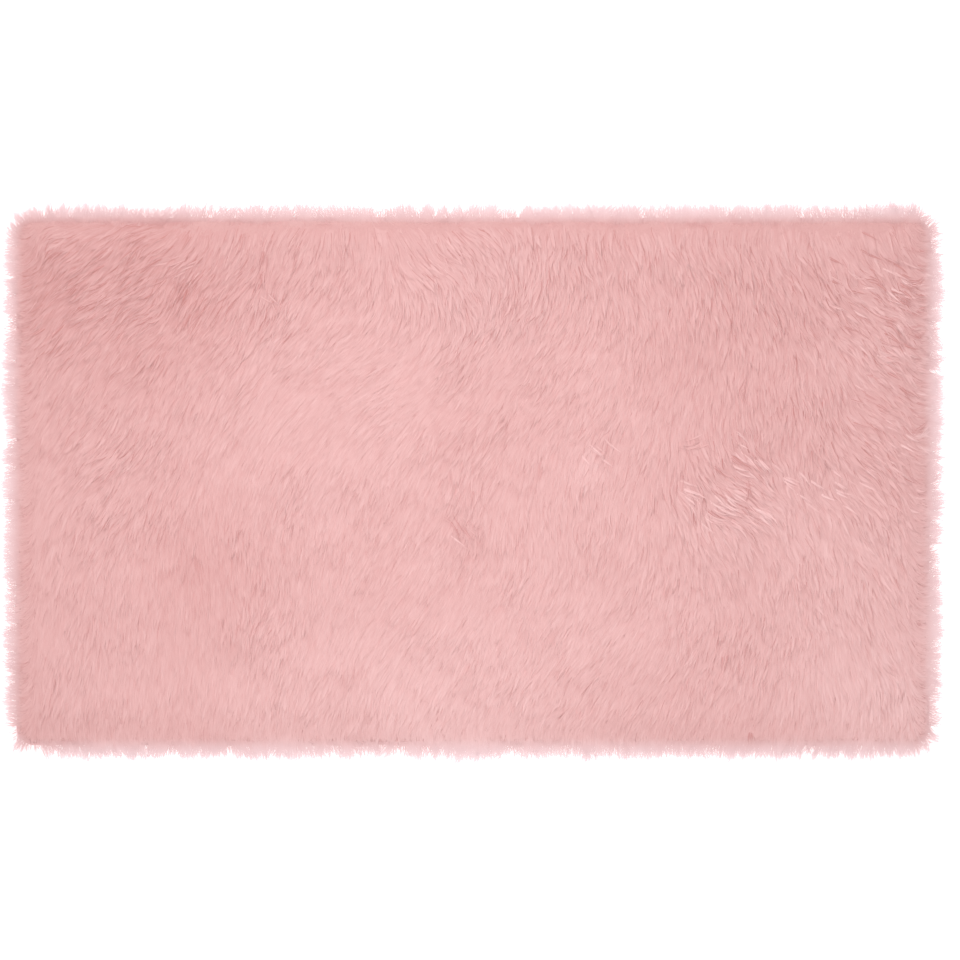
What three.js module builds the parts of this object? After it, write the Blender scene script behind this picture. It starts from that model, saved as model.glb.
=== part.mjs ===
import * as THREE from "three";

// A faux sheepskin rug lying on a floor. It is one rectangle of long-pile fur cloth: a lumpy slab of lying
// pile, whose rim breaks up into pointed locks that rest on the floor.
// Millimetres, +Z up. The origin is the middle of the underside, on the floor. +X runs along the rug's
// length, and the nap lies mostly towards -Y.

// The rug's size over the tips of its rim locks, and how far the longest locks reach past the slab.
const LENGTH = 1550;
const WIDTH = 912;
const RIM_REACH = 28;

// The slab of lying pile: the height of its middle and of its edge, how far in it takes to rise from one
// to the other, its rounded corners, and how far its edge wanders in and out.
const PILE_HEIGHT = 30;
const EDGE_HEIGHT = 13;
const SHOULDER = 60;
const CORNER_RADIUS = 32;
const EDGE_WANDER = 4;

// The locks that lie over each other on top, seen as lumps. Each is placed on a loose grid of these pitches,
// strays by up to this share of a pitch, and is between the least and the most of its usual size.
const TOP_LOCK = {
  length: 125, width: 48, depth: 9, pitchX: 46, pitchY: 64, stray: 0.7, least: 0.75, most: 1.25,
};

// The locks of the rim: how many along each long side and each short one, how unevenly they are spaced, and
// their shortest length as a share of the longest. Halfway out, a lock is these shares of its root's width
// and height. It leans up to this many degrees to either side of the nap, and bends as far again at its tip.
const RIM_LOCK = {
  alongX: 104, alongY: 38, unevenness: 0.55, shortest: 0.55, waistWidth: 0.6, waistHeight: 0.5, lean: 13,
};

const COLOUR = 0xeab6b3;

// The lie of the nap, in degrees turned from -Y towards +X. It is the same all over but for these brushed
// places, where it turns by so much more, less and less out to about the reach.
const NAP_TURN = -12;
const BRUSHED_PLACES = [
  { name: "upper left corner", x: -610, y: 345, reach: 190, turn: -40 },
  { name: "left of the middle", x: -120, y: 170, reach: 190, turn: -36 },
  { name: "left edge", x: -640, y: 70, reach: 130, turn: -18 },
  { name: "arch under the top edge", x: -110, y: 372, reach: 100, turn: 70 },
  { name: "below the upper right", x: 420, y: 210, reach: 120, turn: 10 },
  { name: "upper right corner", x: 720, y: 290, reach: 170, turn: 66 },
  { name: "crest right of the middle", x: 480, y: -20, reach: 95, turn: 52 },
  { name: "right edge", x: 700, y: 30, reach: 140, turn: 48 },
  { name: "middle", x: 140, y: -90, reach: 90, turn: 14 },
  { name: "lower left", x: -400, y: -150, reach: 150, turn: 16 },
  { name: "bottom edge left of the middle", x: -90, y: -235, reach: 110, turn: -18 },
  { name: "bottom edge right of the middle", x: 270, y: -290, reach: 120, turn: -16 },
  { name: "lower right corner", x: 690, y: -240, reach: 150, turn: 34 },
];

// Where the nap starts to fan out over the rim: this far in along the edge it lies towards, and this share
// of that along the edge it comes away from. At the edge itself the fan outweighs the nap this many times.
const FAN_REACH = 55;
const FAN_REACH_BEHIND = 0.5;
const FAN_WEIGHT = 1.3;

const halfLength = LENGTH / 2 - RIM_REACH;
const halfWidth = WIDTH / 2 - RIM_REACH;
const lerp = THREE.MathUtils.lerp;
const clamp = THREE.MathUtils.clamp;
const radians = THREE.MathUtils.degToRad;

// The same number from 0 to 1 each time for the same pair of whole numbers.
function scatter(i, j) {
  const n = Math.sin(i * 127.1 + j * 311.7) * 43758.5453;
  return n - Math.floor(n);
}

// A smooth line of that scatter from -1 to 1, with a new value at each whole number.
function wander(t, line) {
  const i = Math.floor(t);
  const f = t - i;
  const eased = f * f * (3 - 2 * f);
  return 2 * lerp(scatter(i, line), scatter(i + 1, line), eased) - 1;
}

// How far a point is past the lines drawn this deep inside the slab's sides, along X and along Y.
function pastLine(x, y, depth) {
  return new THREE.Vector2(
    Math.max(0, Math.abs(x) - halfLength + depth),
    Math.max(0, Math.abs(y) - halfWidth + depth),
  );
}

// How far a point lies inside the slab's edge.
function inset(x, y) {
  const past = pastLine(x, y, CORNER_RADIUS);
  if (past.x > 0 && past.y > 0) return CORNER_RADIUS - past.length();
  return Math.min(halfLength - Math.abs(x), halfWidth - Math.abs(y));
}

// The way the nap lies at a point, seen from above.
function nap(x, y) {
  let turn = NAP_TURN;
  for (const place of BRUSHED_PLACES) {
    const away = Math.hypot(x - place.x, y - place.y) / place.reach;
    turn += place.turn * Math.exp(-away * away);
  }
  const lie = new THREE.Vector2(0, -1).rotateAround(new THREE.Vector2(), radians(turn));
  const out = pastLine(x, y, FAN_REACH);
  if (out.lengthSq() === 0) return lie;
  out.set(Math.sign(x) * out.x, Math.sign(y) * out.y).normalize();
  const reach = FAN_REACH * lerp(FAN_REACH_BEHIND, 1, (1 + lie.dot(out)) / 2);
  const fan = clamp(1 - inset(x, y) / reach, 0, 1);
  return lie.multiplyScalar(1 - fan).addScaledVector(out, FAN_WEIGHT * fan).normalize();
}

// The locks on top, scattered over the slab, each pointing the way the nap lies at its middle.
function scatterTopLocks() {
  const locks = [];
  const columns = Math.ceil((2 * halfLength) / TOP_LOCK.pitchX);
  const rows = Math.ceil((2 * halfWidth) / TOP_LOCK.pitchY);
  for (let row = 0; row <= rows; row++) {
    for (let column = 0; column <= columns; column++) {
      const across = column + (row % 2) / 2 + TOP_LOCK.stray * scatter(column, row);
      const up = row + TOP_LOCK.stray * scatter(row, column + 200);
      const x = across * TOP_LOCK.pitchX - halfLength;
      const y = up * TOP_LOCK.pitchY - halfWidth;
      const size = lerp(TOP_LOCK.least, TOP_LOCK.most, scatter(column, row + 400));
      locks.push({ x, y, way: nap(x, y), length: TOP_LOCK.length * size, width: TOP_LOCK.width * size });
    }
  }
  return locks;
}

const topLocks = scatterTopLocks();

// How far the uppermost lock stands over the grooves between locks, from 0 to 1. A lock is round across. It
// rises and narrows from its root to its tip.
function lockRelief(x, y) {
  let uppermost = 0;
  for (const lock of topLocks) {
    const dx = x - lock.x;
    const dy = y - lock.y;
    const along = (dx * lock.way.x + dy * lock.way.y) / lock.length;
    if (Math.abs(along) > 0.5) continue;
    const halfLockWidth = (lock.width / 2) * Math.min(1, 1.1 - 1.2 * along);
    const across = (dy * lock.way.x - dx * lock.way.y) / halfLockWidth;
    if (Math.abs(across) > 1) continue;
    uppermost = Math.max(uppermost, (1 - across * across) * (0.65 + 0.7 * along));
  }
  return uppermost;
}

// The height of the lying pile. Its lumps are shallower at the slab's edge.
function pileHeight(x, y) {
  const rise = Math.sin((Math.PI / 2) * clamp(inset(x, y) / SHOULDER, 0, 1));
  const crown = lerp(EDGE_HEIGHT, PILE_HEIGHT, rise);
  const lump = TOP_LOCK.depth * (lockRelief(x, y) - 0.5);
  return crown + lump * lerp(0.3, 1, rise);
}

// Where the grid's line i of so many falls along a side, from -1 to 1.
function unevenStep(i, count, side) {
  const stray = i === 0 || i === count ? 0 : RIM_LOCK.unevenness * (scatter(i, side) - 0.5);
  return (2 * (i + stray)) / count - 1;
}

// A corner of the top's grid, drawn in to the slab's rounded corners and wandering edge.
function gridPoint(column, row) {
  const u = unevenStep(column, RIM_LOCK.alongX, 31);
  const v = unevenStep(row, RIM_LOCK.alongY, 37);
  const x = u * (halfLength + EDGE_WANDER * wander(v * 7, Math.sign(u) + 3) * u ** 8);
  const y = v * (halfWidth + EDGE_WANDER * wander(u * 12, Math.sign(v) + 7) * v ** 8);
  const past = pastLine(u * halfLength, v * halfWidth, CORNER_RADIUS).divideScalar(CORNER_RADIUS);
  const drawnInX = CORNER_RADIUS * past.x * (1 - Math.sqrt(1 - past.y ** 2 / 2));
  const drawnInY = CORNER_RADIUS * past.y * (1 - Math.sqrt(1 - past.x ** 2 / 2));
  return new THREE.Vector2(x - Math.sign(x) * drawnInX, y - Math.sign(y) * drawnInY);
}

// The columns and rows of the grid's rim, counterclockwise seen from above.
function rimCorners() {
  const corners = [];
  for (let i = 0; i < RIM_LOCK.alongX; i++) corners.push([i, 0]);
  for (let j = 0; j < RIM_LOCK.alongY; j++) corners.push([RIM_LOCK.alongX, j]);
  for (let i = RIM_LOCK.alongX; i > 0; i--) corners.push([i, RIM_LOCK.alongY]);
  for (let j = RIM_LOCK.alongY; j > 0; j--) corners.push([0, j]);
  return corners;
}

// One lock of the rim, four-sided and pointed, from its root on the slab's edge to its tip on the floor.
// Neighbours lean nearly the same way, so they stand apart but for their roots.
function addRimLock(points, faces, root, k) {
  const add = (p, z) => points.push(new THREE.Vector3(p.x, p.y, z)) - 1;
  const [foot, nextFoot] = root.map((i) => new THREE.Vector2(points[i].x, points[i].y));
  const middle = foot.clone().lerp(nextFoot, 0.5);
  const lean = radians(RIM_LOCK.lean * wander(k / 2.6, 11));
  const way = nap(middle.x, middle.y).rotateAround(new THREE.Vector2(), lean);
  const longness = 0.5 + 0.3 * wander(k / 3.5, 13) + 0.4 * (scatter(k, 12) - 0.5);
  const reach = RIM_REACH * lerp(RIM_LOCK.shortest, 1, longness);

  const waist = middle.clone().addScaledVector(way, reach / 2);
  const tip = waist.clone().addScaledVector(way.rotateAround(new THREE.Vector2(), lean), reach / 2);
  const half = nextFoot.clone().sub(foot).multiplyScalar(RIM_LOCK.waistWidth / 2);
  const near = waist.clone().sub(half);
  const far = waist.clone().add(half);
  const height = RIM_LOCK.waistHeight * points[root[2]].z;
  const ring = [add(near, 0), add(far, 0), add(far, height), add(near, height)];
  const point = add(tip, 0);
  for (let s = 0; s < 4; s++) {
    const t = (s + 1) % 4;
    faces.push([root[s], root[t], ring[t]], [root[s], ring[t], ring[s]], [ring[s], ring[t], point]);
  }
}

// The rug as one closed surface: the top's grid, a lock on each cell of the rim, and the flat underside.
function rugGeometry() {
  const points = [];
  const faces = [];
  const add = (x, y, z) => points.push(new THREE.Vector3(x, y, z)) - 1;

  const top = [];
  for (let row = 0; row <= RIM_LOCK.alongY; row++) {
    for (let column = 0; column <= RIM_LOCK.alongX; column++) {
      const p = gridPoint(column, row);
      top.push(add(p.x, p.y, pileHeight(p.x, p.y)));
    }
  }
  const at = (column, row) => top[row * (RIM_LOCK.alongX + 1) + column];
  for (let row = 0; row < RIM_LOCK.alongY; row++) {
    for (let column = 0; column < RIM_LOCK.alongX; column++) {
      faces.push([at(column, row), at(column + 1, row), at(column + 1, row + 1)]);
      faces.push([at(column, row), at(column + 1, row + 1), at(column, row + 1)]);
    }
  }

  const rimTop = rimCorners().map(([column, row]) => at(column, row));
  const rimFoot = rimTop.map((i) => add(points[i].x, points[i].y, 0));
  const middle = add(0, 0, 0);
  for (let k = 0; k < rimTop.length; k++) {
    const next = (k + 1) % rimTop.length;
    addRimLock(points, faces, [rimFoot[k], rimFoot[next], rimTop[next], rimTop[k]], k);
    faces.push([rimFoot[next], rimFoot[k], middle]);
  }

  const geometry = new THREE.BufferGeometry().setFromPoints(points);
  geometry.setIndex(faces.flat());
  return geometry;
}

// The geometry, centred over the origin and brought to the rug's length and width.
function broughtToSize(geometry) {
  geometry.computeBoundingBox();
  const box = geometry.boundingBox;
  geometry.translate(-(box.min.x + box.max.x) / 2, -(box.min.y + box.max.y) / 2, 0);
  geometry.scale(LENGTH / (box.max.x - box.min.x), WIDTH / (box.max.y - box.min.y), 1);
  geometry.computeVertexNormals();
  return geometry;
}

const fur = new THREE.MeshStandardMaterial({ color: COLOUR, roughness: 0.9, metalness: 0 });
const rug = new THREE.Mesh(broughtToSize(rugGeometry()), fur);
rug.name = "fur_rug";

const part = new THREE.Group();
part.add(rug);
export default part;
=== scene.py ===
import bpy
import numpy as np
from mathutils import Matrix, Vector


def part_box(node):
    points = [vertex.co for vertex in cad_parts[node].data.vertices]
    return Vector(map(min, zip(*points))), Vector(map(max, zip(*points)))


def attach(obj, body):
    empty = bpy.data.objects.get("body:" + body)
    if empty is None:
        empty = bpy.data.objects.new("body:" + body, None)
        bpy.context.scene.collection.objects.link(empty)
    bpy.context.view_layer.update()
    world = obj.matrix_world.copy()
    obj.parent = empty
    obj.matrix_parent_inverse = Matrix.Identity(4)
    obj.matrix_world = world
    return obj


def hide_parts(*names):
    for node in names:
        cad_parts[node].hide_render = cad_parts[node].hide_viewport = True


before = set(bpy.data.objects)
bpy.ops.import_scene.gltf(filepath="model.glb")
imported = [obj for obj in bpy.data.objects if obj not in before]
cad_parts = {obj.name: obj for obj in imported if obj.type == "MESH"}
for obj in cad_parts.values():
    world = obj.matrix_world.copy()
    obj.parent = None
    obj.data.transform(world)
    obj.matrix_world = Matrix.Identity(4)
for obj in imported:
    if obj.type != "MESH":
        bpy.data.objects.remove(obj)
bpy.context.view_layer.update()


# The knitted ground
# The rug is one piece of cloth: a warp-knitted ground, cut to a rectangle with slightly rounded corners.
# Its loops lock the pile in, and its plain side lies flat on the floor.

RUG_LOW, RUG_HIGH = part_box("fur_rug")
RIM_REACH = 0.028
CUT_LENGTH = RUG_HIGH.x - RUG_LOW.x - 2 * RIM_REACH
CUT_WIDTH = RUG_HIGH.y - RUG_LOW.y - 2 * RIM_REACH
CORNER_RADIUS = 0.022
GROUND_THICK = 0.0015
GROUND_COLOUR = (0.76, 0.48, 0.46)
GROUND_SHADE = (0.58, 0.31, 0.30)
STITCH = 0.0024
# The length of one wave of a wave texture whose scale is 1.
WAVE_LENGTH = 0.314


def past_line(x, y, depth):
    """How far points are past the lines drawn this deep inside the cut's sides, along X and along Y."""
    past_x = np.maximum(0, np.abs(x) - CUT_LENGTH / 2 + depth)
    past_y = np.maximum(0, np.abs(y) - CUT_WIDTH / 2 + depth)
    return past_x, past_y


def inset(x, y):
    """How far points lie inside the cut edge, less than 0 outside it."""
    past_x, past_y = past_line(x, y, CORNER_RADIUS)
    in_corner = (past_x > 0) & (past_y > 0)
    straight = np.minimum(CUT_LENGTH / 2 - np.abs(x), CUT_WIDTH / 2 - np.abs(y))
    return np.where(in_corner, CORNER_RADIUS - np.hypot(past_x, past_y), straight)


def cloth_grid(columns, rows, past):
    """The X and Y of a grid over the cut cloth and this far past it, drawn in at its rounded corners."""
    u, v = np.meshgrid(np.linspace(-1, 1, columns + 1), np.linspace(-1, 1, rows + 1))
    x = u * (CUT_LENGTH / 2 + past)
    y = v * (CUT_WIDTH / 2 + past)
    past_x, past_y = past_line(x, y, CORNER_RADIUS)
    radius = CORNER_RADIUS + past
    drawn_x = past_x * (1 - np.sqrt(1 - (past_y / radius) ** 2 / 2))
    drawn_y = past_y * (1 - np.sqrt(1 - (past_x / radius) ** 2 / 2))
    return x - np.sign(x) * drawn_x, y - np.sign(y) * drawn_y


def mesh_object(name, points, triangles, material):
    """A new object of these points and triangles, smooth all over."""
    mesh = bpy.data.meshes.new(name)
    mesh.vertices.add(len(points))
    mesh.vertices.foreach_set("co", np.asarray(points, np.float32).ravel())
    mesh.loops.add(3 * len(triangles))
    mesh.loops.foreach_set("vertex_index", np.asarray(triangles, np.int32).ravel())
    mesh.polygons.add(len(triangles))
    mesh.polygons.foreach_set("loop_start", np.arange(0, 3 * len(triangles), 3, dtype=np.int32))
    mesh.polygons.foreach_set("use_smooth", np.ones(len(triangles), bool))
    mesh.update(calc_edges=True)
    mesh.materials.append(material)
    obj = bpy.data.objects.new(name, mesh)
    bpy.context.scene.collection.objects.link(obj)
    return obj


def closed_slab(name, x, y, under, over, material):
    """A closed slab over a grid, from its level underside up to the heights over."""
    rows, columns = x.shape
    at = np.arange(rows * columns).reshape(rows, columns)
    first, right = at[:-1, :-1].ravel(), at[:-1, 1:].ravel()
    opposite, above = at[1:, 1:].ravel(), at[1:, :-1].ravel()
    top = np.concatenate([np.stack([first, right, opposite], 1), np.stack([first, opposite, above], 1)])
    rim = np.concatenate([at[0, :-1], at[:-1, -1], at[-1, :0:-1], at[:0:-1, 0]])
    foot = at.size + np.arange(len(rim))
    next_rim, next_foot = np.roll(rim, -1), np.roll(foot, -1)
    lower_wall = np.stack([foot, next_foot, next_rim], 1)
    upper_wall = np.stack([foot, next_rim, rim], 1)
    middle = 0 * foot + at.size + len(rim)
    underside = np.stack([next_foot, foot, middle], 1)
    tops = np.stack([x.ravel(), y.ravel(), over.ravel()], 1)
    feet = np.stack([x.ravel()[rim], y.ravel()[rim], under + 0.0 * rim], 1)
    points = np.concatenate([tops, feet, [[0, 0, under]]])
    return mesh_object(name, points, np.concatenate([top, lower_wall, upper_wall, underside]), material)


def new_material(name, roughness):
    """A material with a plain shader, and its nodes and links to build on."""
    material = bpy.data.materials.new(name)
    material.use_nodes = True
    tree = material.node_tree
    shader = tree.nodes["Principled BSDF"]
    shader.inputs["Roughness"].default_value = roughness
    return material, tree.nodes, tree.links, shader


def mixed_colour(nodes, links, share, first, second):
    """A colour that goes from the first to the second as share goes from 0 to 1."""
    mix = nodes.new("ShaderNodeMix")
    mix.data_type = "RGBA"
    links.new(share, mix.inputs["Factor"])
    for name, colour in (("A", first), ("B", second)):
        if isinstance(colour, tuple):
            mix.inputs[name].default_value = (*colour, 1)
        else:
            links.new(colour, mix.inputs[name])
    return mix.outputs["Result"]


def sum_and_product(nodes, links, value, times, plus):
    """The value times one number, plus a number or another value."""
    node = nodes.new("ShaderNodeMath")
    node.operation = "MULTIPLY_ADD"
    links.new(value, node.inputs[0])
    node.inputs[1].default_value = times
    if isinstance(plus, (int, float)):
        node.inputs[2].default_value = plus
    else:
        links.new(plus, node.inputs[2])
    return node.outputs["Value"]


def add_bump(nodes, links, shader, height, distance, strength):
    """Raises the surface by up to this distance where height is 1."""
    bump = nodes.new("ShaderNodeBump")
    bump.inputs["Distance"].default_value = distance
    bump.inputs["Strength"].default_value = strength
    links.new(height, bump.inputs["Height"])
    links.new(bump.outputs["Normal"], shader.inputs["Normal"])


knit, nodes, links, shader = new_material("knitted_ground", 0.85)
place = nodes.new("ShaderNodeTexCoord")
wales = nodes.new("ShaderNodeTexWave")
wales.wave_type = "BANDS"
wales.bands_direction = "X"
wales.inputs["Scale"].default_value = WAVE_LENGTH / STITCH
wales.inputs["Distortion"].default_value = 1.2
wales.inputs["Detail Scale"].default_value = 400
links.new(place.outputs["Object"], wales.inputs["Vector"])
courses = nodes.new("ShaderNodeTexWave")
courses.wave_type = "BANDS"
courses.bands_direction = "Y"
courses.inputs["Scale"].default_value = WAVE_LENGTH / STITCH
links.new(place.outputs["Object"], courses.inputs["Vector"])
loops = nodes.new("ShaderNodeMath")
loops.operation = "MULTIPLY"
links.new(wales.outputs["Fac"], loops.inputs[0])
links.new(courses.outputs["Fac"], loops.inputs[1])
knit_colour = mixed_colour(nodes, links, loops.outputs["Value"], GROUND_SHADE, GROUND_COLOUR)
links.new(knit_colour, shader.inputs["Base Color"])
add_bump(nodes, links, shader, loops.outputs["Value"], 0.0006, 0.8)

ground_x, ground_y = cloth_grid(48, 28, 0)
ground = closed_slab("knitted_ground", ground_x, ground_y, 0, 0 * ground_x + GROUND_THICK, knit)
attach(ground, "root")


# The under pile
# The short dense fibres and the roots of the long ones, which stand so close that they make one soft mass.
# It is a lumpy slab with a rounded shoulder and shows only between locks. Its colour is painted a little
# redder and darker than the tips, as painted shade deep between the locks.
# Its thin skirt reaches a little past the cut edge and falls to the floor there. It is painted paler,
# as painted light against the shade of the hairs over it and of its outward slope.

UNDER_EDGE = 0.012
UNDER_HEIGHT = 0.0245
SHOULDER = 0.050
UNDER_LUMP = 0.0034
LUMP_CELL = 0.062
SMALL_LUMP = 0.0012
SMALL_LUMP_CELL = 0.026
LUMPS_AT_EDGE = 0.3
FALL_PAST_EDGE = 0.030
FALL_STEEPNESS = 1.3
# Painted shade: both under-pile colours are darker and redder than the fur, for the shade between the locks.
UNDER_COLOUR = (0.684, 0.380, 0.371)
UNDER_SHADE = (0.628, 0.325, 0.313)
SKIRT_REACH = 0.008
SKIRT_FALL = 0.0095
SKIRT_STEEPNESS = 0.5
SKIRT_WANDER = 0.003
SKIRT_WANDER_CELL = 0.030
SKIRT_LIT_FROM = 0.15
LEAST_OVER_GROUND = 0.0005
SKIRT_LIT_COLOUR = (0.900, 0.620, 0.625)
EDGE_BLEND = 0.020


def soft_noise(x, y, cell, seed):
    """Smooth noise from -1 to 1 with a new value about every cell."""
    table = np.random.default_rng(seed).uniform(-1, 1, (64, 64))
    u, v = x / cell, y / cell
    i, j = np.floor(u).astype(int), np.floor(v).astype(int)
    f, g = u - i, v - j
    f, g = f * f * (3 - 2 * f), g * g * (3 - 2 * g)
    i, j, i_next, j_next = i % 64, j % 64, (i + 1) % 64, (j + 1) % 64
    low = table[i, j] * (1 - f) + table[i_next, j] * f
    high = table[i, j_next] * (1 - f) + table[i_next, j_next] * f
    return low * (1 - g) + high * g


def under_height(x, y):
    """The height of the under pile. Past the cut edge it falls off to the floor."""
    inside = inset(x, y)
    rise = np.sin(np.pi / 2 * np.clip(inside / SHOULDER, 0, 1))
    height = UNDER_EDGE + (UNDER_HEIGHT - UNDER_EDGE) * rise
    lumps = UNDER_LUMP * soft_noise(x, y, LUMP_CELL, 11) + SMALL_LUMP * soft_noise(x, y, SMALL_LUMP_CELL, 12)
    height = height + lumps * (LUMPS_AT_EDGE + (1 - LUMPS_AT_EDGE) * rise)
    return height * np.clip(1 + inside / FALL_PAST_EDGE, 0, 1) ** FALL_STEEPNESS


under_fur, nodes, links, shader = new_material("under_fur", 0.9)
place = nodes.new("ShaderNodeTexCoord")
tufts = nodes.new("ShaderNodeTexNoise")
tufts.inputs["Scale"].default_value = 260
tufts.inputs["Detail"].default_value = 4
links.new(place.outputs["Object"], tufts.inputs["Vector"])
thin_rim_light = nodes.new("ShaderNodeAttribute")
thin_rim_light.attribute_name = "thin_rim_light"
under_colour = mixed_colour(nodes, links, tufts.outputs["Fac"], UNDER_SHADE, UNDER_COLOUR)
under_colour = mixed_colour(nodes, links, thin_rim_light.outputs["Fac"], under_colour, SKIRT_LIT_COLOUR)
links.new(under_colour, shader.inputs["Base Color"])
add_bump(nodes, links, shader, tufts.outputs["Fac"], 0.002, 0.7)

under_x, under_y = cloth_grid(156, 92, SKIRT_REACH)
near_edge = np.clip(1 - inset(under_x, under_y) / EDGE_BLEND, 0, 1)
wander = SKIRT_WANDER * near_edge * soft_noise(under_x, under_y, SKIRT_WANDER_CELL, 13)
under_x = under_x * (1 + wander / (CUT_LENGTH / 2))
under_y = under_y * (1 + wander / (CUT_WIDTH / 2))
fall = np.clip(1 + inset(under_x, under_y) / SKIRT_FALL, 0, 1) ** SKIRT_STEEPNESS
under_z = under_height(under_x, under_y) * fall
under_z = np.maximum(under_z, GROUND_THICK + LEAST_OVER_GROUND)
under_pile = closed_slab("under_pile", under_x, under_y, GROUND_THICK, under_z, under_fur)
points = np.zeros(3 * len(under_pile.data.vertices), np.float32)
under_pile.data.vertices.foreach_get("co", points)
# Painted light: the skirt is painted paler towards its end, against the shade of the hairs over it.
skirt_lit = np.clip(SKIRT_LIT_FROM - inset(points[::3], points[1::3]) / SKIRT_FALL, 0, 1)
layer = under_pile.data.attributes.new("thin_rim_light", "FLOAT", "POINT")
layer.data.foreach_set("value", skirt_lit.astype(np.float32))
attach(under_pile, "root")
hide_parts("fur_rug")


# The combed pile
# Long acrylic fibres, brushed mostly one way and lying close in broad flat locks. Each lies over the next
# ones along the nap, with its tip on top, and those near the cut edge fan out over it.

NAP_TURN = -15
NAP_WAVE = 20
NAP_WAVE_CELL = 0.034
PLAIN_RUFFLE = 0.35
FAN_REACH = 0.038
# Places where the nap was brushed another way: x, y and reach in metres, degrees turned from -Y towards +X,
# and how much more ruffled the pile is there.
BRUSHED_PLACES = [
    ("upper left corner", -0.600, 0.320, 0.170, -34, 0.5),
    ("arch under the top edge", -0.060, 0.350, 0.120, 66, 0.6),
    ("left of the middle", -0.150, 0.200, 0.150, -42, 0.0),
    ("above the middle", 0.120, 0.190, 0.150, -22, 0.2),
    ("left edge", -0.600, 0.020, 0.110, -26, 0.1),
    ("left band", -0.330, 0.090, 0.120, -14, 0.0),
    ("top right of the middle", 0.300, 0.350, 0.150, 30, 0.4),
    ("right of that", 0.490, 0.320, 0.090, 18, 0.4),
    ("upper right corner", 0.700, 0.290, 0.170, 60, 0.8),
    ("top edge left of the arch", -0.330, 0.370, 0.120, 0, 0.4),
    ("top edge right of the arch", 0.120, 0.380, 0.110, 12, 0.4),
    ("right edge", 0.690, 0.020, 0.170, 54, 0.5),
    ("crest right of the middle", 0.430, -0.010, 0.100, 42, 0.9),
    ("dip above the crest", 0.550, 0.080, 0.070, -24, 0.4),
    ("under the crest", 0.400, -0.120, 0.110, 30, 0.2),
    ("below the middle", 0.150, -0.070, 0.090, 22, 0.3),
    ("left below the middle", -0.400, -0.130, 0.160, 16, -0.1),
    ("lower left corner", -0.600, -0.300, 0.170, 8, 0.0),
    ("right of the left side", -0.110, -0.220, 0.120, -20, 0.0),
    ("bottom edge", 0.220, -0.260, 0.160, -18, 0.1),
    ("lower right corner", 0.700, -0.260, 0.150, 36, 0.3),
]

# At steps along a strand: how far along it is, its height over the under pile, its width and its paleness.
# The paleness is painted darker at the root, as painted shade deep in the pile, and paler at the tip,
# as painted light where it lies on top.
ALONG = np.array([0.0, 0.22, 0.46, 0.72, 1.0])
RISE = np.array([-0.0032, 0.0008, 0.0024, 0.0034, 0.0038])
TAPER = np.array([1.0, 1.0, 1.0, 0.75, 0.0])
ROOT_SHADE_TIP_LIGHT = np.array([-0.10, -0.05, -0.01, 0.02, 0.04])
FARTHEST_PAST_EDGE = 0.054
TUFT_REACH = 0.010
HIGHEST_RAISED = 2.4
BAND_FADE = 0.012
PARTING = 0.005
BAND_WANDER = 0.35
BAND_WANDER_CELL = 0.050
PARTING_CELL = 0.030
ROOTS_FROM_EDGE = 0.001
SLOPE_SHOWN = 0.35

# Where the pile looks paler or redder than elsewhere, as painted light and shade for the lie of the nap:
# x, y and reach in metres, and how much paler.
PALE_PLACES = [
    ("upper left", -0.520, 0.300, 0.240, -0.06),
    ("left of the top edge", -0.480, 0.380, 0.180, -0.11),
    ("top middle", 0.020, 0.310, 0.100, 0.09),
    ("upper right", 0.440, 0.220, 0.200, -0.05),
    ("upper right corner", 0.700, 0.240, 0.100, 0.09),
    ("lower left", -0.330, -0.330, 0.130, 0.09),
    ("left band", -0.540, -0.060, 0.110, -0.05),
    ("left of the middle", -0.200, 0.140, 0.150, 0.07),
    ("left below the middle", -0.420, -0.180, 0.130, -0.10),
    ("below the middle", -0.090, -0.080, 0.180, -0.07),
    ("bottom middle", 0.000, -0.400, 0.270, 0.19),
    ("lower right corner", 0.700, -0.340, 0.140, 0.25),
    ("upper left edge", -0.690, 0.330, 0.080, -0.12),
    ("under the crest", 0.360, -0.090, 0.100, 0.06),
    ("right of the crest", 0.560, -0.090, 0.120, 0.08),
    ("right edge", 0.740, -0.060, 0.150, 0.10),
    ("crest", 0.430, -0.040, 0.080, 0.08),
    ("spot right of the middle", 0.190, 0.050, 0.035, 0.12),
    ("spot below the middle", -0.070, -0.100, 0.040, 0.10),
]
FUR_DEEP = (0.552, 0.228, 0.216)
FUR_PALE = (0.828, 0.541, 0.535)
# Past the cut edge the pile thins out, and its hairs are painted paler there: painted light for the
# light of the floor shining through them.
FUR_THIN_LIT = (0.940, 0.760, 0.785)
RIM_LIT_FROM = 0.005
RIM_LIT_OVER = 0.038


def over_places(x, y, places, column):
    """The sum over a table's places of one of its columns, each falling off around its place."""
    total = np.zeros_like(x)
    for row in places:
        total += row[column] * np.exp(-((x - row[1]) ** 2 + (y - row[2]) ** 2) / row[3] ** 2)
    return total


def ruffle_at(x, y):
    """How ruffled the pile is, from 0 where it is smooth to about 1 where its locks stand out."""
    ruffle = PLAIN_RUFFLE + over_places(x, y, BRUSHED_PLACES, 5)
    return np.clip(ruffle + 0.30 * soft_noise(x, y, 0.075, 41) + 0.2 * soft_noise(x, y, 0.035, 42), 0.05, 1.5)


def by_ruffle(least, ruffle):
    """A share that is least where the pile is smooth and 1 where its ruffle is 1."""
    return least + (1 - least) * ruffle


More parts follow.
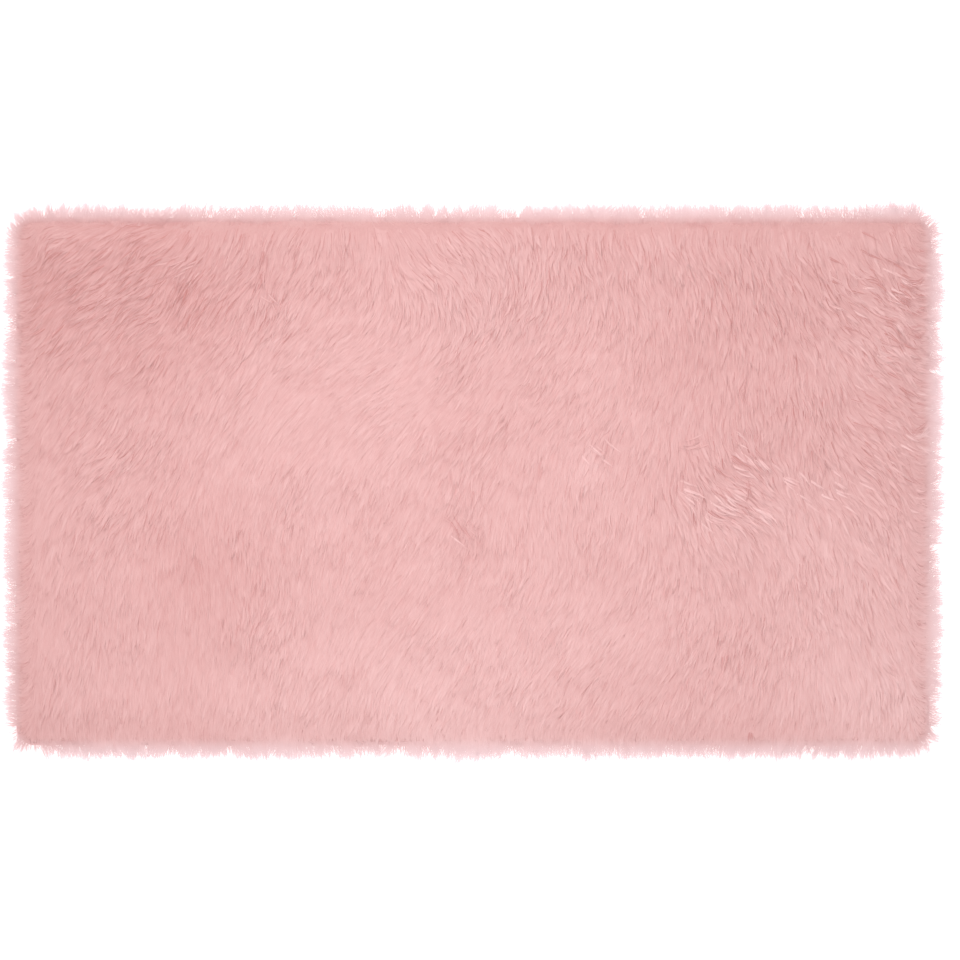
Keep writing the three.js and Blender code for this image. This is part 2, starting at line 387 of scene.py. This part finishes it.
def nap_turn(x, y, stray, outward):
    """The lie of the nap in radians turned from -Y towards +X. With outward 0 it swings out near the cut
    edge, though not where it points inwards, and with outward 1 it points straight out over the edge."""
    wave = NAP_WAVE * ruffle_at(x, y) * soft_noise(x, y, NAP_WAVE_CELL, 21)
    turn = np.radians(NAP_TURN + over_places(x, y, BRUSHED_PLACES, 4) + wave)
    out_x, out_y = past_line(x, y, FAN_REACH)
    out_turn = np.arctan2(np.sign(x) * out_x, -np.sign(y) * out_y)
    swing = (out_turn - turn + np.pi) % (2 * np.pi) - np.pi
    eased = np.clip(0.8 + 0.8 * np.cos(swing), outward, 1)
    fan = np.clip(1 - inset(x, y) / FAN_REACH, 0, 1)
    fanned = np.maximum(fan * fan * (3 - 2 * fan), outward)
    return turn + swing * eased * fanned + stray


def lock_paths(x, y, turn, bend, length, outward):
    """The X, Y and lie of locks at each step of ALONG, rooted at x and y and following the nap."""
    xs, ys, ways = [x], [y], []
    for k, along in enumerate(ALONG):
        ways.append(nap_turn(xs[k], ys[k], turn + bend * (along - 0.4), outward))
        if k + 1 < len(ALONG):
            step = (ALONG[k + 1] - along) * length
            xs.append(xs[k] + step * np.sin(ways[k]))
            ys.append(ys[k] - step * np.cos(ways[k]))
    return np.stack(xs, 1), np.stack(ys, 1), np.stack(ways, 1)


def lay_strands(x, y, turn, bend, length, raised, past_edge, style, draw):
    """The strands of locks rooted at x and y: their middle lines, the way from those to their right edges,
    and the place of each across its lock, from -1 to 1."""
    path_x, path_y, ways = lock_paths(x, y, turn, bend, length, style["outward"])
    # A lock that would reach too far past the cut edge is shorter and thinner.
    root_in, tip_in = inset(x, y), inset(path_x[:, -1], path_y[:, -1])
    fits = np.clip((root_in + past_edge) / np.maximum(root_in - tip_in, 1e-6), 0.15, 1)
    fits = np.where(tip_in < -past_edge, fits, 1)
    length = length * fits
    path_x, path_y, ways = lock_paths(x, y, turn, bend, length, style["outward"])

    strands = (len(x), style["strands"], 1)
    even = np.linspace(-1, 1, style["strands"])[None, :, None] if style["strands"] > 1 else 0
    across = even + draw.normal(0, style["jitter"], strands)
    gather = np.array(style["gather"])
    slip = across * style["half_width"] * gather + draw.normal(0, style["stray"], strands) * ALONG
    ahead = draw.uniform(-style["ragged"], 0.05, strands) * length[:, None, None] * ALONG
    ahead = ahead + draw.uniform(-0.004, 0.004, strands)
    sine, cosine = np.sin(ways)[:, None, :], np.cos(ways)[:, None, :]
    middle_x = path_x[:, None, :] + cosine * slip + sine * ahead
    middle_y = path_y[:, None, :] + sine * slip - cosine * ahead

    low = np.clip((inset(middle_x, middle_y) + RIM_REACH) / (SHOULDER + RIM_REACH), 0.06, 1)
    height = RISE * raised[:, None, None] - style["arch"] * across**2 * gather
    height = height + draw.normal(0, style["unevenness"], strands)
    middle_z = np.maximum(under_height(middle_x, middle_y) + height * low, 0.0008)

    roll = np.radians(style["roll"]) * across + draw.normal(0, 0.10, strands)
    half = style["strand_half_width"] * TAPER * draw.uniform(0.75, 1.25, strands)
    half = half * (0.5 + 0.5 * fits[:, None, None])
    edge = np.stack([cosine * np.cos(roll), sine * np.cos(roll), -np.sin(roll) + 0 * ways[:, None, :]], -1)
    middle = np.stack([middle_x, middle_y, middle_z], -1).reshape(-1, len(ALONG), 3)
    return middle, (edge * half[..., None]).reshape(-1, len(ALONG), 3), across.ravel()


def slab_normals(x, y):
    """The directions in which the under pile's surface faces, with its slopes softened."""
    step = 0.003
    slope_x = (under_height(x + step, y) - under_height(x - step, y)) / (2 * step)
    slope_y = (under_height(x, y + step) - under_height(x, y - step)) / (2 * step)
    shown = SLOPE_SHOWN * np.clip(inset(x, y) / SHOULDER, 0, 1)
    return np.stack([-slope_x * shown, -slope_y * shown, 1 + 0 * x], -1)


def strand_normals(middle, edge, crisp):
    """Normals for strands, between the under pile's own and, as crisp goes to 1, the flat strand's."""
    along = np.gradient(middle, axis=1)
    flat = np.cross(along, np.concatenate([edge[:, :-1], edge[:, -2:-1]], 1))
    flat = flat / np.linalg.norm(flat, axis=-1, keepdims=True)
    mixed = (1 - crisp) * slab_normals(middle[..., 0], middle[..., 1]) + crisp * flat
    return mixed / np.linalg.norm(mixed, axis=-1, keepdims=True)


def strand_object(name, middle, edge, steps, pale, crisp):
    """One object of flat pointed strands. pale is how pale each is, from 0 to 1, at each of its steps."""
    count = len(middle)
    sides = np.stack([middle[:, :-1] - edge[:, :-1], middle[:, :-1] + edge[:, :-1]], 2)
    points = np.concatenate([sides.reshape(count, -1, 3), middle[:, -1:]], 1)
    each = points.shape[1]
    pattern = []
    for left in range(0, each - 3, 2):
        pattern += [(left, left + 3, left + 1), (left, left + 2, left + 3)]
    pattern.append((each - 3, each - 1, each - 2))
    triangles = (np.array(pattern)[None] + each * np.arange(count)[:, None, None]).reshape(-1, 3)
    obj = mesh_object(name, points.reshape(-1, 3), triangles, fur)

    def on_points(values):
        """Values for the steps of the strands, repeated for the two points of each step."""
        return np.concatenate([np.repeat(values[:, :-1], 2, 1), values[:, -1:]], 1)

    def keep_values(attribute, values):
        """Keeps one value for each point, for the material to read."""
        layer = obj.data.attributes.new(attribute, "FLOAT", "POINT")
        layer.data.foreach_set("value", on_points(values).ravel().astype(np.float32))

    normals = on_points(strand_normals(middle, edge, crisp[:, None, None]))
    obj.data.normals_split_custom_set_from_vertices(normals.reshape(-1, 3))
    keep_values("paleness", pale)
    # Painted light: how far each strand is painted paler past the cut edge, for the floor's light through it.
    keep_values("thin_rim_light", np.clip((RIM_LIT_FROM - inset(middle[..., 0], middle[..., 1])) / RIM_LIT_OVER, 0, 1))

    # The place across and along each strand, for its fibres.
    across = np.append(np.tile([0.0, 1.0], len(steps) - 1), 0.5)
    along = np.append(np.repeat(steps[:-1], 2), 1)
    number = 2.0 * np.arange(count)[:, None]
    fibre_place = np.stack([number + across, 0 * number + along, 0 * number + 0 * across], -1)
    fibres = obj.data.attributes.new("fibres", "FLOAT_VECTOR", "POINT")
    fibres.data.foreach_set("vector", fibre_place.ravel().astype(np.float32))

    # Each strand has an upright cell of its own in the OFBake UV map.
    columns = int(2 * np.sqrt(count)) + 1
    rows = -(-count // columns)
    cell = np.arange(count)[:, None]
    u = (cell % columns + 0.15 + 0.7 * across) / columns
    v = (cell // columns + 0.05 + 0.9 * along) / rows
    places = np.stack([u, v], -1).reshape(-1, 2)[triangles.ravel()]
    layer = obj.data.uv_layers.new(name="OFBake")
    layer.data.foreach_set("uv", places.ravel().astype(np.float32))
    return obj


def scattered_roots(pitch, band, share, draw):
    """Roots this far apart, up to a band's width in from the cut edge. share is how many are kept where
    the pile is smooth and how many more where it is ruffled."""
    columns, rows = int(CUT_LENGTH / pitch), int(CUT_WIDTH / pitch)
    column, row = np.meshgrid(np.arange(columns), np.arange(rows))
    column = column + (row % 2) / 2 + draw.uniform(0, 0.9, column.shape)
    row = row + draw.uniform(0, 0.9, row.shape)
    x = (column / columns - 0.5) * CUT_LENGTH
    y = (row / rows - 0.5) * CUT_WIDTH
    depth = band * (1 + BAND_WANDER * soft_noise(x, y, BAND_WANDER_CELL, 14))
    chance = (share[0] + share[1] * ruffle_at(x, y)) * np.clip((depth - inset(x, y)) / BAND_FADE, 0, 1)
    parting = PARTING * (1 + soft_noise(x, y, PARTING_CELL, 15))
    parting = np.where(band < 1, ROOTS_FROM_EDGE, parting)
    kept = (inset(x, y) > parting) & (draw.uniform(0, 1, x.shape) < chance)
    return x[kept], y[kept]


def scattered_locks(style, draw):
    """The roots of a style's locks, how far each is turned from the nap and how much paler it is."""
    x, y = scattered_roots(style["pitch"], style["band"], style["share"], draw)
    turn = draw.normal(0, style["turn"], len(x)) * by_ruffle(0.35, ruffle_at(x, y))
    return x, y, np.radians(turn), 0 * x


def lay_pile(names, style, find_locks):
    """Objects with these names, side by side along the rug, that hold all the locks of one style."""
    draw = np.random.default_rng(style["seed"])
    x, y, turn, paler = find_locks(style, draw)
    count = len(x)
    ruffle = ruffle_at(x, y)
    bend = np.radians(draw.normal(0, style["bend"], count) * by_ruffle(0.35, ruffle))
    length = draw.uniform(*style["length"], count) * (1 + 0.10 * soft_noise(x, y, 0.050, 22))
    raised = draw.normal(1, style["lift"], count) + 0.3 * soft_noise(x, y, 0.024, 23)
    raised = np.clip(style["raised"] * raised * by_ruffle(0.25, ruffle), 0, HIGHEST_RAISED)
    tuft = soft_noise(x, y, 0.050, 61) + 0.6 * soft_noise(x, y, 0.024, 62)
    past_edge = draw.uniform(*style["past_edge"], count) + TUFT_REACH * tuft
    past_edge = np.clip(past_edge, 0, FARTHEST_PAST_EDGE) * draw.uniform(0.8, 1, count)
    turn = turn + np.radians(style["drawn"]) * soft_noise(x, y, 0.022, 63)
    middle, edge, across = lay_strands(x, y, turn, bend, length, raised, past_edge, style, draw)

    def for_strands(values):
        """Values for the locks, repeated for the strands of each."""
        return np.repeat(values, style["strands"])

    # Paleness: the fur's own mottled tone plus painted light and shade from the places, hairs, sides and
    # roots.
    pale = 0.5 + paler + over_places(x, y, PALE_PLACES, 4) + 0.04 * soft_noise(x, y, 0.11, 51)
    pale = for_strands(pale + style["paler"] * ruffle + draw.normal(0, style["mottle"], count))
    pale = pale + draw.normal(0, style["mottle"], len(pale))
    # Painted light and shade: some single strands are painted pale as highlights, some deep as gap shade.
    pale = pale + style["lit_and_shaded_lines"] * for_strands(by_ruffle(0.2, ruffle)) * draw.choice([-1, 0.7], len(pale))
    # Painted shade: the sides of each lock are painted redder, its right side more than its left.
    side_shade = style["edge_shade"] * for_strands(by_ruffle(0.3, ruffle)) * np.where(across > 0, 1, 0.55)
    pale = np.clip((pale - side_shade * across**4)[:, None] + ROOT_SHADE_TIP_LIGHT, 0, 1)
    crisp = for_strands(style["crisp"] * by_ruffle(0.3, ruffle))
    panel = for_strands(np.clip(np.floor((x / CUT_LENGTH + 0.5) * len(names)), 0, len(names) - 1))
    steps = style["steps"]
    for k, name in enumerate(names):
        here = panel == k
        strands = middle[here][:, steps], edge[here][:, steps], ALONG[steps], pale[here][:, steps]
        piece = strand_object(name, *strands, crisp[here])
        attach(piece, "root")
        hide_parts("fur_rug")


fur, nodes, links, shader = new_material("fur", 0.6)
shader.inputs["Specular IOR Level"].default_value = 0.25
paleness = nodes.new("ShaderNodeAttribute")
paleness.attribute_name = "paleness"
thin_rim_light = nodes.new("ShaderNodeAttribute")
thin_rim_light.attribute_name = "thin_rim_light"
fibre_place = nodes.new("ShaderNodeAttribute")
fibre_place.attribute_name = "fibres"
stretched = nodes.new("ShaderNodeMapping")
stretched.inputs["Scale"].default_value = (5, 0.8, 1)
links.new(fibre_place.outputs["Vector"], stretched.inputs["Vector"])
fibre_lines = nodes.new("ShaderNodeTexNoise")
fibre_lines.inputs["Scale"].default_value = 1
fibre_lines.inputs["Detail"].default_value = 2
links.new(stretched.outputs["Vector"], fibre_lines.inputs["Vector"])
dulled = sum_and_product(nodes, links, paleness.outputs["Fac"], 1, -0.25)
lined = sum_and_product(nodes, links, fibre_lines.outputs["Fac"], 0.5, dulled)
fur_colour = mixed_colour(nodes, links, lined, FUR_DEEP, FUR_PALE)
# Painted light: past the cut edge the fur goes towards a paler colour, for the floor's light through it.
fur_colour = mixed_colour(nodes, links, thin_rim_light.outputs["Fac"], fur_colour, FUR_THIN_LIT)
links.new(fur_colour, shader.inputs["Base Color"])

COMBED = {
    "seed": 5,
    "pitch": 0.0093,
    "band": 1,
    "share": (1, 0),
    "length": (0.046, 0.060),
    "past_edge": (0.000, 0.008),
    "outward": 0,
    "turn": 3,
    "drawn": 0,
    "bend": 8,
    "raised": 0.8,
    "lift": 0.15,
    "strands": 5,
    "half_width": 0.0046,
    "gather": [1, 1, 1, 0.85, 0.7],
    "jitter": 0.06,
    "stray": 0.0004,
    "ragged": 0.35,
    "arch": 0.0002,
    "roll": 4,
    "unevenness": 0.0001,
    "strand_half_width": 0.00135,
    "steps": [0, 1, 3, 4],
    "crisp": 0.25,
    "paler": 0,
    "mottle": 0.03,
    "lit_and_shaded_lines": 0,
    "edge_shade": 0.04,
}
lay_pile(["combed_pile_1", "combed_pile_2", "combed_pile_3"], COMBED, scattered_locks)


# The pointed locks
# Fibres that crimp has drawn together into pointed locks, which lie singly over the combed pile. There are
# more of them where the pile is ruffled, and each is painted redder along its sides, its right side more,
# as painted shade where it is lower.

POINTED = {
    **COMBED,
    "seed": 6,
    "pitch": 0.0125,
    "share": (0.15, 0.85),
    "length": (0.036, 0.060),
    "past_edge": (0.002, 0.018),
    "turn": 8,
    "bend": 22,
    "raised": 1.2,
    "lift": 0.25,
    "strands": 7,
    "half_width": 0.0042,
    "gather": [1, 1, 0.9, 0.6, 0.12],
    "jitter": 0.05,
    "stray": 0.0003,
    "ragged": 0.30,
    "arch": 0.0016,
    "roll": 14,
    "strand_half_width": 0.00095,
    "steps": [0, 1, 2, 3, 4],
    "crisp": 0.6,
    "paler": 0.06,
    "edge_shade": 0.33,
}
lay_pile(["pointed_locks_1", "pointed_locks_2"], POINTED, scattered_locks)


# The single hairs
# Thin hairs that lie singly over the locks and draw fine lines along the nap. Some are painted pale, as
# painted highlights, and some deep, as painted shade in the gaps between the locks.

HAIRS = {
    **POINTED,
    "seed": 15,
    "pitch": 0.0088,
    "share": (0.15, 0.7),
    "length": (0.030, 0.055),
    "turn": 7,
    "bend": 18,
    "raised": 1.3,
    "lift": 0.3,
    "strands": 1,
    "half_width": 0,
    "jitter": 0,
    "stray": 0.0010,
    "arch": 0,
    "roll": 0,
    "unevenness": 0.0003,
    "strand_half_width": 0.00042,
    "crisp": 0.3,
    "paler": 0,
    "mottle": 0.05,
    "lit_and_shaded_lines": 0.32,
    "edge_shade": 0,
}
lay_pile(["single_hairs"], HAIRS, scattered_locks)


# The locks brushed astray
# Thin locks that have been brushed out of the nap: long pale ones side by side at the crest, curls where two
# naps meet, and deep lines that fan out to the upper right corner and lie beside paler ones at the edges.
# The deep lines and gaps are painted shade between the locks, and the pale locks at the crest and the
# edges are painted light on raised locks.

# x and y of the place, how far the locks spread, their turn from -Y towards +X, their number, how much paler.
ASTRAY_PLACES = [
    ("left end of the crest", 0.346, -0.014, 0.010, 50, 10, 0.36),
    ("middle of the crest", 0.395, -0.024, 0.016, 50, 18, 0.34),
    ("bright end of the crest", 0.460, -0.044, 0.008, 54, 10, 0.42),
    ("lower side of the crest", 0.415, -0.056, 0.018, 42, 12, 0.12),
    ("deep strokes in the crest", 0.400, -0.004, 0.022, 44, 10, -0.16),
    ("pale strokes above the crest", 0.445, 0.045, 0.020, 42, 14, 0.26),
    ("deep strokes above the crest", 0.440, 0.040, 0.016, 42, 7, -0.16),
    ("lock right of the crest", 0.497, 0.012, 0.003, 70, 6, 0.32),
    ("right of those", 0.560, -0.010, 0.026, 54, 14, 0.30),
    ("curl above the crest", 0.384, 0.068, 0.006, -70, 6, 0.08),
    ("tuft at the crest", 0.447, 0.012, 0.002, 5, 3, -0.20),
    ("curls at the upper left", -0.465, 0.350, 0.018, -60, 12, 0.10),
    ("deep curls at the upper left", -0.475, 0.335, 0.018, -30, 10, -0.12),
    ("line left of the arch", -0.340, 0.387, 0.0015, -5, 4, -0.16),
    ("lower half of the line", -0.343, 0.352, 0.0015, -7, 4, -0.16),
    ("curl at its foot", -0.344, 0.312, 0.003, 50, 3, 0.12),
    ("curl below the middle", -0.040, -0.070, 0.012, 50, 9, 0.14),
    ("deep curl below the middle", -0.035, -0.060, 0.010, 30, 6, -0.12),
    ("curl right of the middle", 0.190, 0.052, 0.010, 45, 8, 0.16),
    ("lines in the upper right corner", 0.670, 0.345, 0.038, 58, 44, -0.22),
    ("lines farther down", 0.690, 0.270, 0.035, 64, 26, -0.20),
    ("pale locks between them", 0.680, 0.300, 0.040, 62, 30, 0.32),
    ("gap at the upper right", 0.700, 0.326, 0.002, 82, 4, -0.22),
    ("gap at the right edge", 0.714, 0.081, 0.001, 90, 4, -0.24),
    ("lock under that gap", 0.716, 0.073, 0.0025, 90, 9, 0.35),
    ("lines at the right edge", 0.690, 0.150, 0.040, 58, 18, -0.12),
    ("pale locks at the right edge", 0.690, 0.060, 0.045, 58, 24, 0.30),
    ("lines at the upper left edge", -0.600, 0.330, 0.060, -45, 24, -0.12),
    ("tuft at the bottom edge", 0.456, -0.408, 0.002, -4, 4, -0.20),
]


def astray_locks(style, draw):
    """The roots, turns and paleness of the locks at the places in the table."""
    locks = []
    for _, middle_x, middle_y, reach, middle_turn, number, place_paler in ASTRAY_PLACES:
        for _ in range(number):
            root_x = middle_x + draw.normal(0, reach)
            root_y = middle_y + draw.normal(0, reach)
            locks.append((root_x, root_y, middle_turn + draw.normal(0, style["turn"]), place_paler))
    x, y, degrees, paler = np.array(locks).T
    inside = inset(x, y) > ROOTS_FROM_EDGE
    x, y, degrees, paler = x[inside], y[inside], degrees[inside], paler[inside]
    return x, y, np.radians(degrees) - nap_turn(x, y, 0, style["outward"]), paler


ASTRAY = {
    **POINTED,
    "seed": 31,
    "length": (0.032, 0.050),
    "turn": 6,
    "bend": 16,
    "raised": 2.1,
    "strands": 4,
    "half_width": 0.0016,
    "gather": [0.7, 1, 0.9, 0.6, 0.2],
    "ragged": 0.2,
    "arch": 0.0008,
    "strand_half_width": 0.00062,
    "mottle": 0.06,
    "crisp": 0.2,
    "edge_shade": 0.30,
}
lay_pile(["locks_astray"], ASTRAY, astray_locks)


# The rim
# Fibres rooted along the cut edge. They hang out over it to the floor, thin and loose, and part there from
# the combed pile, which lies the other way along the far side.

RIM_BAND = 0.017
RIM_LOCKS = {
    **COMBED,
    "seed": 8,
    "pitch": 0.0052,
    "band": RIM_BAND,
    "length": (0.044, 0.058),
    "past_edge": (0.004, 0.052),
    "outward": 1,
    "turn": 22,
    "drawn": 20,
    "bend": 24,
    "raised": 0.8,
    "lift": 0.3,
    "strands": 10,
    "half_width": 0.0048,
    "gather": [1, 1, 1, 1, 1.1],
    "jitter": 0.2,
    "stray": 0.0040,
    "ragged": 0.35,
    "roll": 8,
    "unevenness": 0.0004,
    "strand_half_width": 0.00042,
    "steps": [0, 2, 3, 4],
    "crisp": 0.3,
    "paler": -0.10,
    "mottle": 0.04,
}
lay_pile(["rim_locks"], RIM_LOCKS, scattered_locks)

RIM_HAIRS = {
    **RIM_LOCKS,
    "seed": 10,
    "pitch": 0.0040,
    "length": (0.044, 0.060),
    "past_edge": (0.026, 0.076),
    "ragged": 0.30,
    "turn": 30,
    "bend": 36,
    "raised": 1.2,
    "strands": 8,
    "half_width": 0.0025,
    "gather": [1, 1, 1, 1.1, 1.3],
    "jitter": 0.4,
    "stray": 0.0025,
    "arch": 0,
    "roll": 0,
    "unevenness": 0.0008,
    "strand_half_width": 0.00028,
    "steps": [0, 3, 4],
    "crisp": 0.2,
    "paler": -0.04,
    "mottle": 0.05,
    "edge_shade": 0,
}
lay_pile(["rim_hairs"], RIM_HAIRS, scattered_locks)


# The studio
# A wide white floor that glows towards the horizon, a world that is white low down and dim overhead, a large
# soft light above the rug and a camera that looks straight down.

FLOOR_SIZE = 60
FLOOR_DROP = 0.0002
GLOW_NEAR = 0.45
GLOW_FAR = 0.75
GLOW_FROM = 0.9
GLOW_FULL = 4.4
WORLD_LOW = 1.0
WORLD_OVERHEAD = 0.1
WORLD_DIMS_FROM = 0.3
WORLD_DIM_AT = 0.7
LAMP_LENGTH = 2.0
LAMP_WIDTH = 1.5
LAMP_POWER = 119
LAMP_PLACE = (-0.15, 0.30, 3.4)
LAMP_TILT = (-5, -2.5)
FRAME_WIDTH = 1.578
FRAME_SHIFT = (0.012, 0.0025)
PILE_MIDDLE = 0.02
LENS = 70


def eased_value(nodes, links, value, start, end, first, last):
    """A value that goes from first to last as the given one goes from start to end."""
    ease = nodes.new("ShaderNodeMapRange")
    links.new(value, ease.inputs["Value"])
    for name, number in (("From Min", start), ("From Max", end), ("To Min", first), ("To Max", last)):
        ease.inputs[name].default_value = number
    return ease.outputs["Result"]


floor_paint, nodes, links, shader = new_material("white_floor", 0.8)
shader.inputs["Base Color"].default_value = (0.93, 0.93, 0.93, 1)
shader.inputs["Emission Color"].default_value = (1, 1, 1, 1)
place = nodes.new("ShaderNodeTexCoord")
distance = nodes.new("ShaderNodeVectorMath")
distance.operation = "LENGTH"
links.new(place.outputs["Object"], distance.inputs[0])
glow = eased_value(nodes, links, distance.outputs["Value"], GLOW_FROM, GLOW_FULL, GLOW_NEAR, GLOW_FAR)
links.new(glow, shader.inputs["Emission Strength"])
far = FLOOR_SIZE / 2
corners = [(x, y, -FLOOR_DROP) for x, y in ((-far, -far), (far, -far), (far, far), (-far, far))]
floor = mesh_object("floor", corners, [(0, 1, 2), (0, 2, 3)], floor_paint)

scene = bpy.context.scene
scene.world = bpy.data.worlds.new("studio")
scene.world.use_nodes = True
nodes, links = scene.world.node_tree.nodes, scene.world.node_tree.links
sky = nodes.new("ShaderNodeTexCoord")
upward = nodes.new("ShaderNodeSeparateXYZ")
links.new(sky.outputs["Generated"], upward.inputs["Vector"])
height = upward.outputs["Z"]
low_light = eased_value(nodes, links, height, WORLD_DIMS_FROM, WORLD_DIM_AT, WORLD_LOW, WORLD_OVERHEAD)
links.new(low_light, nodes["Background"].inputs["Strength"])
nodes["Background"].inputs["Color"].default_value = (1, 1, 1, 1)

lamp = bpy.data.lights.new("softbox", "AREA")
lamp.shape = "RECTANGLE"
lamp.size = LAMP_LENGTH
lamp.size_y = LAMP_WIDTH
lamp.energy = LAMP_POWER
softbox = bpy.data.objects.new("softbox", lamp)
softbox.location = LAMP_PLACE
softbox.rotation_euler = (*np.radians(LAMP_TILT), 0)
scene.collection.objects.link(softbox)

camera_data = bpy.data.cameras.new("camera")
camera_data.lens = LENS
camera = bpy.data.objects.new("camera", camera_data)
camera.location = (*FRAME_SHIFT, PILE_MIDDLE + FRAME_WIDTH * LENS / camera_data.sensor_width)
scene.collection.objects.link(camera)
scene.camera = camera
scene.view_settings.view_transform = "Standard"
